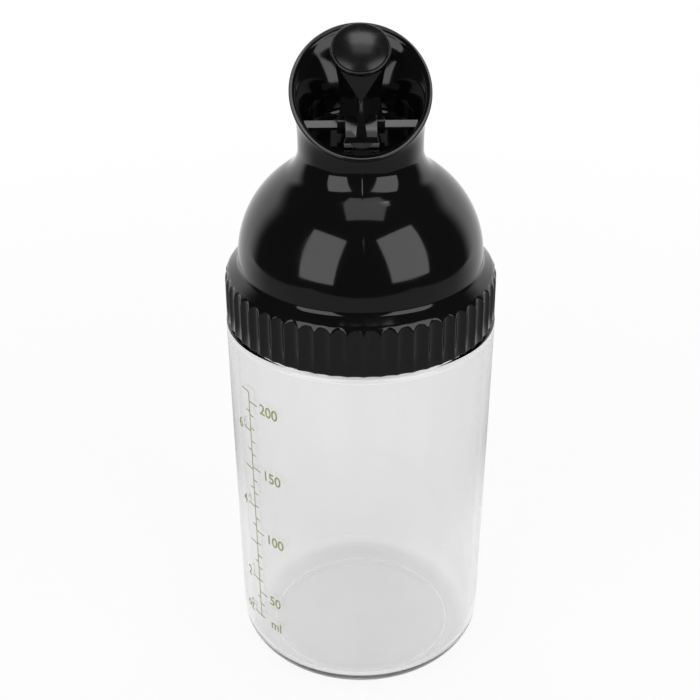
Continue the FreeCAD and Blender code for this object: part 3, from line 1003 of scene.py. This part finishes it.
    def inner_lip(self, share: float, column: int) -> Vector:
        """A point over the inner half of the rounded lip, going down.

        Args:
            share: How far along it is.
            column: The point's column.

        Returns:
            The point.
        """
        rim = self.lip(self.lip_width, column)
        top = self.lip(self.lip_width - self.lip_round, column)
        down = self.floor_ring(self.mouth_radius, column) - rim
        reach = min(self.lip_round, self.low_wall_share * down.length)
        return rounded(top, rim, rim + down.normalized() * reach, share)

    def mouth(self, share: float, column: int) -> Vector:
        """A point down the spout's inside.

        Args:
            share: How far it is from the lip to the rounding at the floor.
            column: The point's column.

        Returns:
            The point.
        """
        top = self.inner_lip(1.0, column)
        foot = self.floor_corner(0.0, column)
        spread = (1 - share) ** self.mouth_flare
        return Vector((*foot.xy.lerp(top.xy, spread), top.z + (foot.z - top.z) * share))

    def floor_ring(self, radius: float, column: int, middle: float = 0.0) -> Vector:
        """A point of a ring on the spout's floor."""
        return polar(radius, self.angle(column), self.floor_height, middle)

    def corner_reach(self, column: int) -> float:
        """How far the rounding at the spout's floor reaches, less where the wall is low."""
        rise = self.lip(self.lip_width, column) - self.floor_ring(self.mouth_radius, column)
        return min(self.floor_blend, self.low_wall_share * rise.length)

    def floor_corner(self, share: float, column: int) -> Vector:
        """A point in the rounding between the spout's inside and its floor.

        Args:
            share: How far along it is, going down.
            column: The point's column.

        Returns:
            The point.
        """
        corner = self.floor_ring(self.mouth_radius, column)
        up = self.lip(self.lip_width, column) - corner
        reach = self.corner_reach(column)
        inside = self.floor_ring(self.mouth_radius - reach, column)
        return rounded(corner + up.normalized() * reach, corner, inside, share)

    def floor(self, share: float, column: int) -> Vector:
        """A point on the spout's floor, from its rounding to the pour hole's seat."""
        outside = self.floor_ring(self.mouth_radius - self.corner_reach(column), column)
        return outside.lerp(self.floor_ring(self.hole_radius + self.seat_depth, column, self.hole_y), share)

    def under(self, height: float, share: float, column: int) -> Vector:
        """A point below the floor, from the pour hole to the spout's inner wall."""
        hole = polar(self.hole_radius, self.angle(column), height, self.hole_y)
        return hole.lerp(polar(self.mouth_radius, self.angle(column), height), share)

    def collar_rows(self) -> list[Row]:
        """Rows from the skirt's lower edge up to the crease under the dome.

        Returns:
            The rows in order.
        """
        edge, foot = self.collar_edge, self.flute_foot
        rows = [partial(self.at, self.skirt_radius, self.base),
                partial(self.at, self.skirt_radius + self.skirt_guard, self.base),
                partial(self.fluted, edge + self.edge_guard, self.base, foot)]
        for across, height in arc_points((-edge, edge), edge, -90, 0, 4):
            rows.append(partial(self.fluted, -across, self.base + height, foot))
        for rise in self.fade_shares:
            depth = foot + (1 - foot) * rise ** 2 * (3 - 2 * rise)
            rows.append(partial(self.fluted, 0.0, self.base + edge + self.flute_fade * rise, depth))
        for drop, inset in ((2 * self.arch_width, 0.0), (self.arch_width, 0.0), (0.0, self.arch_inset)):
            rows.append(partial(self.arch, drop, inset))
        return rows + [partial(self.rounding, share) for share in even_shares(7)]

    def dome_rows(self) -> list[Row]:
        """Rows from the crease over the dome and up the neck to the spout.

        Returns:
            The rows in order.
        """
        low, high = self.dome_angles
        points = arc_points(self.crease_middle, self.crease_radius, 180 + self.round_end, 180 + low, 6)
        points += arc_points(self.dome_middle, self.dome_radius, low, high, 24)[1:]
        points += arc_points(self.blend_middle, self.blend_radius, 180 + high, 180, 12)[1:]
        points.append((self.neck_radius, self.spout_base))
        return [partial(self.at, *point) for point in points]

    def spout_rows(self) -> list[Row]:
        """Rows up the spout, over its lip, down its inside and across its floor to the pour hole."""
        runs = ((self.spout_wall, even_shares(10)[1:-1]), (self.outer_lip, even_shares(6)),
                (self.inner_lip, even_shares(6)), (self.mouth, self.mouth_shares),
                (self.floor_corner, even_shares(8)), (self.floor, self.floor_shares))
        return [partial(place, share) for place, shares in runs for share in shares]

    def hidden_rows(self) -> list[Row]:
        """Rows down the pour hole and over the lid's inside, back to the skirt's lower edge.

        Returns:
            The rows in order.
        """
        high = self.dome_angles[1]
        rows = [partial(self.under, self.floor_height - self.seat_depth, 0.0)]
        rows += [partial(self.under, self.under_floor, share) for share in (0.0, *self.under_shares)]
        points = arc_points(self.blend_middle, self.blend_radius + self.wall, 180, 180 + high, 8)
        points += arc_points(self.dome_middle, self.dome_radius - self.wall, high, 0, 14)[1:]
        points += [(self.bore, self.ledge), (self.skirt_radius, self.ledge), (self.skirt_radius, self.base)]
        return rows + [partial(self.at, *point) for point in points]

    def build(self, material: bpy.types.Material) -> None:
        """Form the lid, add its inside thread and dress it.

        Args:
            material: The black plastic.
        """
        rows = self.collar_rows() + self.dome_rows() + self.spout_rows() + self.hidden_rows()
        shell = Workpiece.sleeve("lid_shell", self.columns(), rows, joined=True)
        thread = Thread().ridge("lid_thread", self.skirt_radius, self.skirt_radius - self.thread_depth,
                                self.thread_middle, self.thread_turns)
        shell.join([thread])
        shell.attach(material, Body.LID, Slot.BLACK, "lid")


@dataclass
class Lever:
    """The black lever: hub, tongue over the pour hole, prow-shaped arm and dished round head."""

    hub_place: Place = (0.0, -2.7 * MM, 139.8 * MM)
    hub_radius: float = 1.8 * MM
    hub_width: float = 10.5 * MM
    hub_round: float = 0.12 * MM
    tongue_outline: tuple[Point, ...] = in_mm(
        (-2.7, 137.1), (-9.0, 137.1), (-8.8, 137.3), (-8.05, 137.75), (-7.85, 139.0), (-4.6, 141.18),
        (-2.7, 142.2))
    tongue_half_width: float = 3.9 * MM
    tongue_narrow_above: float = 138.9 * MM
    tongue_top_share: float = 0.9
    tongue_round: float = 0.12 * MM
    rib_outline: tuple[Point, ...] = in_mm(
        (-3.2, 138.5), (-7.9, 138.5), (-7.9, 139.3), (-2.8, 145.0), (-2.2, 145.0))
    rib_half_width: float = 1.2 * MM
    rib_narrow_above: float = 144.9 * MM
    rib_top_share: float = 0.25
    slab_sharpness: float = math.radians(20)
    head_place: Place = (0.0, 0.6 * MM, 156.1 * MM)
    head_tilt: float = math.radians(37.5)
    head_radius: float = 6.6 * MM
    head_rim: float = 1.0 * MM
    head_depth: float = 3.2 * MM
    head_under: float = 4.6 * MM
    under_round: float = 0.8 * MM
    rim_round: float = 0.3 * MM
    edge_round: float = 0.22 * MM
    recess_radius: float = 6.12 * MM
    recess_depth: float = 1.2 * MM
    recess_round: float = 0.1 * MM
    arm_foot: tuple[Place, ...] = in_mm((0.8, -5.1, 138.9), (5.2, -1.5, 138.9), (4.6, -0.3, 138.9))
    arm_waist: tuple[Place, ...] = in_mm((0.25, -2.6, 145.3), (4.3, 0.4, 145.3), (3.4, 1.0, 145.3))
    arm_top: tuple[Point, ...] = in_mm((4.4, -5.2), (6.1, 0.3), (4.4, 4.6))
    arm_sunk: float = 1.0 * MM
    arm_round: float = 0.1 * MM
    arm_sharpness: float = math.radians(12)
    smooth_below: float = math.radians(28)
    steps: int = 128

    def hub(self) -> Workpiece:
        """Turn the hub and lay it along the pin.

        Returns:
            The hub, which the other parts are united with.
        """
        half = self.hub_width / 2
        section = trace_section([Corner(0.0, -half), Corner(self.hub_radius, -half, self.hub_round),
                                 Corner(self.hub_radius, half, self.hub_round), Corner(0.0, half)])
        hub = Workpiece.turned("lever_moulding", section, self.steps)
        hub.turn_to("Y", QUARTER_TURN, self.hub_place)
        return hub

    def narrow(self, slab: Workpiece, above: float, share: float) -> None:
        """Narrow a slab above a height to a share of its width."""
        slab.select(lambda point: point.z > above)
        slab.stretch((share, 1.0, 1.0), self.hub_place)

    def tongue(self) -> Workpiece:
        """Draw the tongue's stepped side, widen it, then narrow its top and soften it.

        Returns:
            The tongue.
        """
        tongue = Workpiece.slab("tongue", self.tongue_outline, self.tongue_half_width)
        self.narrow(tongue, self.tongue_narrow_above, self.tongue_top_share)
        tongue.soften(self.tongue_round, 4, self.slab_sharpness)
        return tongue

    def rib(self) -> Workpiece:
        """Draw the rib that props the arm's ridge on the tongue, narrowing upwards.

        Returns:
            The rib.
        """
        rib = Workpiece.slab("rib", self.rib_outline, self.rib_half_width)
        self.narrow(rib, self.rib_narrow_above, self.rib_top_share)
        rib.soften(self.arm_round, 3, self.slab_sharpness)
        return rib

    def on_head(self, across: float, along: float, depth: float) -> Vector:
        """A point given on the tilted head: across it, up its slope and below its upper edge."""
        turn = Matrix.Rotation(self.head_tilt, 3, "X")
        return Vector(self.head_place) + turn @ Vector((across, along, -depth))

    def arm(self) -> Workpiece:
        """Raise the arm: a narrow ridge on the hub that opens into a three-cornered facet under the head.

        Returns:
            The arm.
        """
        slices = [[Vector(corner) for corner in corners] for corners in (self.arm_foot, self.arm_waist)]
        slices.append([self.on_head(*corner, self.arm_sunk) for corner in self.arm_top])

        def row(corners: list[Vector]) -> Row:
            """All six corners of a slice, from the right half's three, counted from the front."""
            mirrored = [Vector((-corner.x, corner.y, corner.z)) for corner in reversed(corners)]
            return lambda column: (corners + mirrored)[column]

        arm = Workpiece.sleeve("arm", 6, [row(corners) for corners in slices], joined=False)
        arm.soften(self.arm_round, 4, self.arm_sharpness)
        return arm

    def head(self) -> Workpiece:
        """Turn the head with its dish for the thumb pad and tilt it.

        Returns:
            The head.
        """
        section = trace_section([
            Corner(0.0, -self.head_depth), Corner(self.head_under, -self.head_depth, self.under_round),
            Corner(self.head_radius, -self.head_rim, self.rim_round),
            Corner(self.head_radius, 0.0, self.edge_round),
            Corner(self.recess_radius, 0.0, self.recess_round),
            Corner(self.recess_radius, -self.recess_depth), Corner(0.0, -self.recess_depth)])
        head = Workpiece.turned("head", section, self.steps)
        head.turn_to("X", self.head_tilt, self.head_place)
        return head

    def build(self, material: bpy.types.Material) -> None:
        """Make the lever's parts into one moulding and dress it.

        Args:
            material: The black plastic.
        """
        lever = self.hub()
        for part in (self.tongue(), self.rib(), self.arm(), self.head()):
            lever.unite(part)
        lever.attach(material, Body.LEVER, Slot.BLACK, "lever", self.smooth_below)


@dataclass
class ThumbPad:
    """The domed disc that is set into the lever's head."""

    radius: float = 6.02 * MM
    sunk: float = 1.1 * MM
    edge: float = 0.15 * MM
    edge_round: float = 0.2 * MM
    crown: float = 1.5 * MM
    crown_steps: int = 16
    steps: int = 128

    def build(self, material: bpy.types.Material, lever: Lever) -> None:
        """Turn the disc, tilt it into the head and dress it.

        Args:
            material: The satin plastic.
            lever: The lever that carries it.
        """
        rise = self.crown - self.edge
        curve = (self.radius ** 2 + rise ** 2) / (2 * rise)
        spread = math.degrees(math.asin((self.radius - self.edge_round) / curve))
        cap = arc_points((0.0, self.crown - curve), curve, 90 - spread, 90, self.crown_steps)
        side = [Corner(0.0, -self.sunk), Corner(self.radius, -self.sunk),
                Corner(self.radius, self.edge, self.edge_round), Corner(*cap[0])]
        pad = Workpiece.turned("thumb_pad_disc", trace_section(side) + cap[1:], self.steps)
        pad.turn_to("X", lever.head_tilt, lever.head_place)
        pad.attach(material, Body.LEVER, Slot.PAD, "thumb_pad")


@dataclass
class LeverPin:
    """The axle that the lever turns on, held in the spout's wall."""

    radius: float = 1.05 * MM
    half_length: float = 13.2 * MM
    chamfer: float = 0.3 * MM
    flat_depth: float = 0.42 * MM
    flat_tilt: float = math.radians(57)
    steps: int = 64

    def build(self, material: bpy.types.Material, lever: Lever) -> None:
        """Turn the axle, lay it across the spout, cut the flat along it and dress it.

        Args:
            material: The black plastic.
            lever: The lever that turns on it.
        """
        half = self.half_length
        slim = self.radius - self.chamfer
        section = trace_section([
            Corner(0.0, -half), Corner(slim, -half), Corner(self.radius, self.chamfer - half),
            Corner(self.radius, half - self.chamfer), Corner(slim, half), Corner(0.0, half)])
        pin = Workpiece.turned("lever_axle", section, self.steps)
        pin.turn_to("Y", QUARTER_TURN, lever.hub_place)
        facing = Vector((0.0, -math.cos(self.flat_tilt), math.sin(self.flat_tilt)))
        bpy.ops.mesh.bisect(plane_co=Vector(lever.hub_place) + facing * self.flat_depth, plane_no=facing,
                            use_fill=True, clear_outer=True)
        pin.close()
        pin.attach(material, Body.LID, Slot.BLACK, "lever_pin")


class Align(Enum):
    """The side of its place that a word keeps to."""

    LEFT = "LEFT"
    RIGHT = "RIGHT"


@dataclass
class PrintedScale:
    """The volume scale printed on the bottle: millilitres to the right of its line, ounces to the left."""

    bottle: Bottle
    turn: float = -0.979
    ink: float = 0.03 * MM
    line_width: float = 0.3 * MM
    first_height: float = 22.3 * MM
    first_volume: float = 50.0
    rise: float = 0.383 * MM
    slowing: float = 0.00006 * MM
    marks: range = range(30, 201, 10)
    numbers: range = range(50, 201, 50)
    ounce: float = 29.57
    ounces: int = 7
    ounce_numbers: range = range(2, 7, 2)
    long_tick: float = 3.1 * MM
    short_tick: float = 1.5 * MM
    digit_size: float = 3.9 * MM
    digit_drop: float = 0.35
    boldness: float = 0.045 * MM
    word_gap: float = 0.9 * MM

    def height_of(self, volume: float) -> float:
        """Height of the mark for a volume in millilitres."""
        past = volume - self.first_volume
        return self.first_height + self.rise * past - self.slowing * past ** 2

    def wrap(self, piece: Workpiece) -> Workpiece:
        """Lay a flat drawing on the bottle's wall: X runs round it, Y is height, Z stands off it.

        Args:
            piece: The flat drawing, measured from the scale's line.

        Returns:
            The same piece, wrapped.
        """
        def place(point: Vector) -> Vector:
            """A drawn point's place on the wall."""
            wall = self.bottle.radius_at(point.y)
            return polar(wall + point.z, self.turn + point.x / wall, point.y)
        piece.move(place)
        piece.close()
        return piece

    def bar(self, left: float, right: float, low: float, high: float) -> Workpiece:
        """Print one bar.

        Args:
            left: Its left end, from the scale's line.
            right: Its right end.
            low: Height of its lower edge.
            high: Height of its upper edge.

        Returns:
            The bar on the wall.
        """
        clear_selection()
        bpy.ops.mesh.primitive_grid_add(x_subdivisions=6, y_subdivisions=2, size=1.0)
        bar = Workpiece("bar")
        bar.move(lambda point: Vector((left + (point.x + 0.5) * (right - left),
                                       low + (point.y + 0.5) * (high - low), 0.0)))
        bar.extrude((0.0, 0.0, self.ink))
        return self.wrap(bar)

    def tick(self, volume: float, left: float, right: float) -> Workpiece:
        """Print one tick at a volume's height."""
        height = self.height_of(volume)
        return self.bar(left, right, height - self.line_width / 2, height + self.line_width / 2)

    def word(self, text: str, across: float, height: float, align: Align) -> Workpiece:
        """Print a number or a unit.

        Args:
            text: What it says.
            across: Where its aligned side is, from the scale's line.
            height: Height of its lower edge.
            align: That side.

        Returns:
            The word on the wall.
        """
        clear_selection()
        bpy.ops.object.text_add()
        words = bpy.context.object
        words.data.body = text
        words.data.size = self.digit_size
        words.data.align_x = align.value
        words.data.extrude = self.ink / 2
        words.data.offset = self.boldness
        bpy.ops.object.convert(target="MESH")
        words.location = (across, height, self.ink / 2)
        return self.wrap(Workpiece("word"))

    def build(self, material: bpy.types.Material) -> None:
        """Print the line, its ticks, numbers and units.

        Args:
            material: The ink.
        """
        half = self.line_width / 2
        low, high = self.height_of(self.ounce), self.height_of(self.ounces * self.ounce)
        prints = [self.bar(-half, half, low, high)]
        for volume in self.marks:
            length = self.long_tick if volume in self.numbers else self.short_tick
            prints.append(self.tick(volume, 0.0, length))
        for half_ounce in range(2, 2 * self.ounces + 1):
            length = self.short_tick if half_ounce % 2 else self.long_tick
            prints.append(self.tick(half_ounce * self.ounce / 2, -length, 0.0))
        beside = self.long_tick + self.word_gap
        drop = self.digit_size * self.digit_drop
        for volume in self.numbers:
            prints.append(self.word(str(volume), beside, self.height_of(volume) - drop, Align.LEFT))
        for ounce in self.ounce_numbers:
            height = self.height_of(ounce * self.ounce) - drop
            prints.append(self.word(str(ounce), -beside, height, Align.RIGHT))
        units = self.height_of(self.marks[0]) - drop
        prints.append(self.word("ml", beside, units, Align.LEFT))
        prints.append(self.word("oz", -beside, units, Align.RIGHT))
        scale = prints[0]
        scale.object.name = "printed_scale"
        scale.join(prints[1:])
        scale.attach(material, Body.BOTTLE, None)


@dataclass(frozen=True)
class Softbox:
    """A rectangular studio lamp aimed at a point."""

    name: str
    place: Place
    size: Point
    radiance: float
    target: Place

    def build(self) -> None:
        """Add the lamp, which shows in reflections only."""
        bpy.ops.object.light_add(type="AREA", location=self.place)
        lamp = bpy.context.object
        lamp.name = self.name
        aim = Vector(self.target) - Vector(self.place)
        lamp.rotation_euler = aim.to_track_quat("-Z", "Y").to_euler()
        lamp.data.shape = "RECTANGLE"
        lamp.data.size, lamp.data.size_y = self.size
        lamp.data.energy = self.radiance * math.pi * self.size[0] * self.size[1]
        lamp.visible_transmission = False
        lamp.visible_camera = False


@dataclass
class Studio:
    """Plain soft studio: a softbox on each side, two overhead, a pale floor and a white surround."""

    lid_height: float = 0.12
    side_distance: float = 1.0
    side_radiance: float = 2.1
    left_direction: Point = (-41.0, 22.5)
    left_size: Point = (0.62, 0.93)
    right_direction: Point = (44.0, 24.0)
    right_size: Point = (0.70, 0.93)
    top_place: Place = (0.06, -0.17, 1.14)
    top_size: Point = (0.56, 0.42)
    top_radiance: float = 1.1
    strip_place: Place = (0.06, 0.2, 1.1)
    strip_size: Point = (0.6, 0.44)
    strip_radiance: float = 2.35
    floor_size: float = 0.9
    dim_grey: float = 0.04
    ambient_grey: float = 0.45
    back_edge: Point = (0.28, 0.62)
    back_top: Point = (0.35, 0.6)

    def side_place(self, azimuth: float, elevation: float) -> Place:
        """Where a side lamp stands, by its direction from the lid.

        Args:
            azimuth: Degrees from the pouring side, positive towards +X.
            elevation: Degrees above level.

        Returns:
            The place.
        """
        turn, rise = math.radians(azimuth), math.radians(elevation)
        reach = self.side_distance * math.cos(rise)
        return tuple(polar(reach, turn, self.lid_height + self.side_distance * math.sin(rise)))

    def build(self) -> None:
        """Add the lamps, the floor and the surround."""
        lid = (0.0, 0.0, self.lid_height)
        for name, direction, size in (("left_softbox", self.left_direction, self.left_size),
                                      ("right_softbox", self.right_direction, self.right_size)):
            Softbox(name, self.side_place(*direction), size, self.side_radiance, lid).build()
        for name, place, size, radiance in (
                ("top_softbox", self.top_place, self.top_size, self.top_radiance),
                ("strip_softbox", self.strip_place, self.strip_size, self.strip_radiance)):
            Softbox(name, place, size, radiance, (place[0], place[1], 0.0)).build()
        self.build_floor()
        self.build_surround()

    def build_floor(self) -> None:
        """Add the floor with its paint."""
        bpy.ops.mesh.primitive_plane_add(size=self.floor_size)
        floor = bpy.context.object
        floor.name = "floor"
        floor.data.materials.append(FloorPaint().material())

    def build_surround(self) -> None:
        """Make the world: white to the camera, and in reflections white behind and dim elsewhere."""
        world = bpy.data.worlds.new("surround")
        bpy.context.scene.world = world
        graph = NodeGraph(world)
        direction = graph.add("ShaderNodeTexCoord", {}, {}, "Generated")
        east, north, up = (graph.part_of(direction, axis) for axis in "XYZ")
        level = (east * east + north * north) ** 0.5
        behind = graph.step(north / level, *self.back_edge) * (1 - graph.step(up, *self.back_top))
        seen, through, lighting = (graph.ray_is(kind) for kind in ("Camera", "Transmission", "Diffuse"))
        room = graph.blend(lighting, opaque((self.dim_grey,) * 3), opaque((self.ambient_grey,) * 3))
        colour = graph.blend(seen | through | behind, room, WHITE)
        light = graph.add("ShaderNodeBackground", {}, {"Color": colour, "Strength": 1.0})
        graph.add("ShaderNodeOutputWorld", {}, {"Surface": light})


@dataclass(frozen=True)
class PhotoCamera:
    """The camera at the photograph's viewing angle, for a square image."""

    distance: float = 313.0 * MM
    height: float = 263.5 * MM
    pitch_down: float = math.radians(30.28)
    azimuth: float = math.radians(-1.3)
    image_side: float = 700.0
    focal_pixels: float = 1513.5
    axis_offset: float = 10.7
    horizon_offset: float = 2.5
    sensor: float = 36.0
    clip_start: float = 10.0 * MM

    def build(self) -> None:
        """Add the camera and make it the scene's own."""
        bpy.ops.object.camera_add(location=polar(self.distance, self.azimuth, self.height),
                                  rotation=(QUARTER_TURN - self.pitch_down, 0.0, self.azimuth))
        camera = bpy.context.object
        camera.data.sensor_width = self.sensor
        camera.data.lens = self.focal_pixels / self.image_side * self.sensor
        camera.data.shift_x = -self.axis_offset / self.image_side
        camera.data.shift_y = self.horizon_offset / self.image_side
        camera.data.clip_start = self.clip_start
        bpy.context.scene.camera = camera


def dress_node(name: str, material: bpy.types.Material) -> None:
    """Give a carried-over node its finish.

    Args:
        name: The node.
        material: Its finish.
    """
    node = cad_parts[name]
    node.data.materials.clear()
    node.data.materials.append(material)


def main() -> None:
    """Build and dress the part, then its studio and camera."""
    logging.basicConfig(level=logging.INFO, format="%(message)s")
    bpy.context.scene.view_settings.view_transform = "Standard"
    gloss = GLOSS_BLACK.material()
    satin = SATIN_BLACK.material()
    silicone = Silicone().material()
    clear = ClearPlastic().material()
    bottle = Bottle()
    lever = Lever()
    bottle.build(clear)
    PrintedScale(bottle).build(Ink().material())
    LidShell().build(gloss)
    lever.build(gloss)
    LeverPin().build(gloss, lever)
    ThumbPad().build(satin, lever)
    dress_node("stopper", silicone)
    dress_node("rim_gasket", silicone)
    Studio().build()
    PhotoCamera().build()


if __name__ == "__main__":
    main()
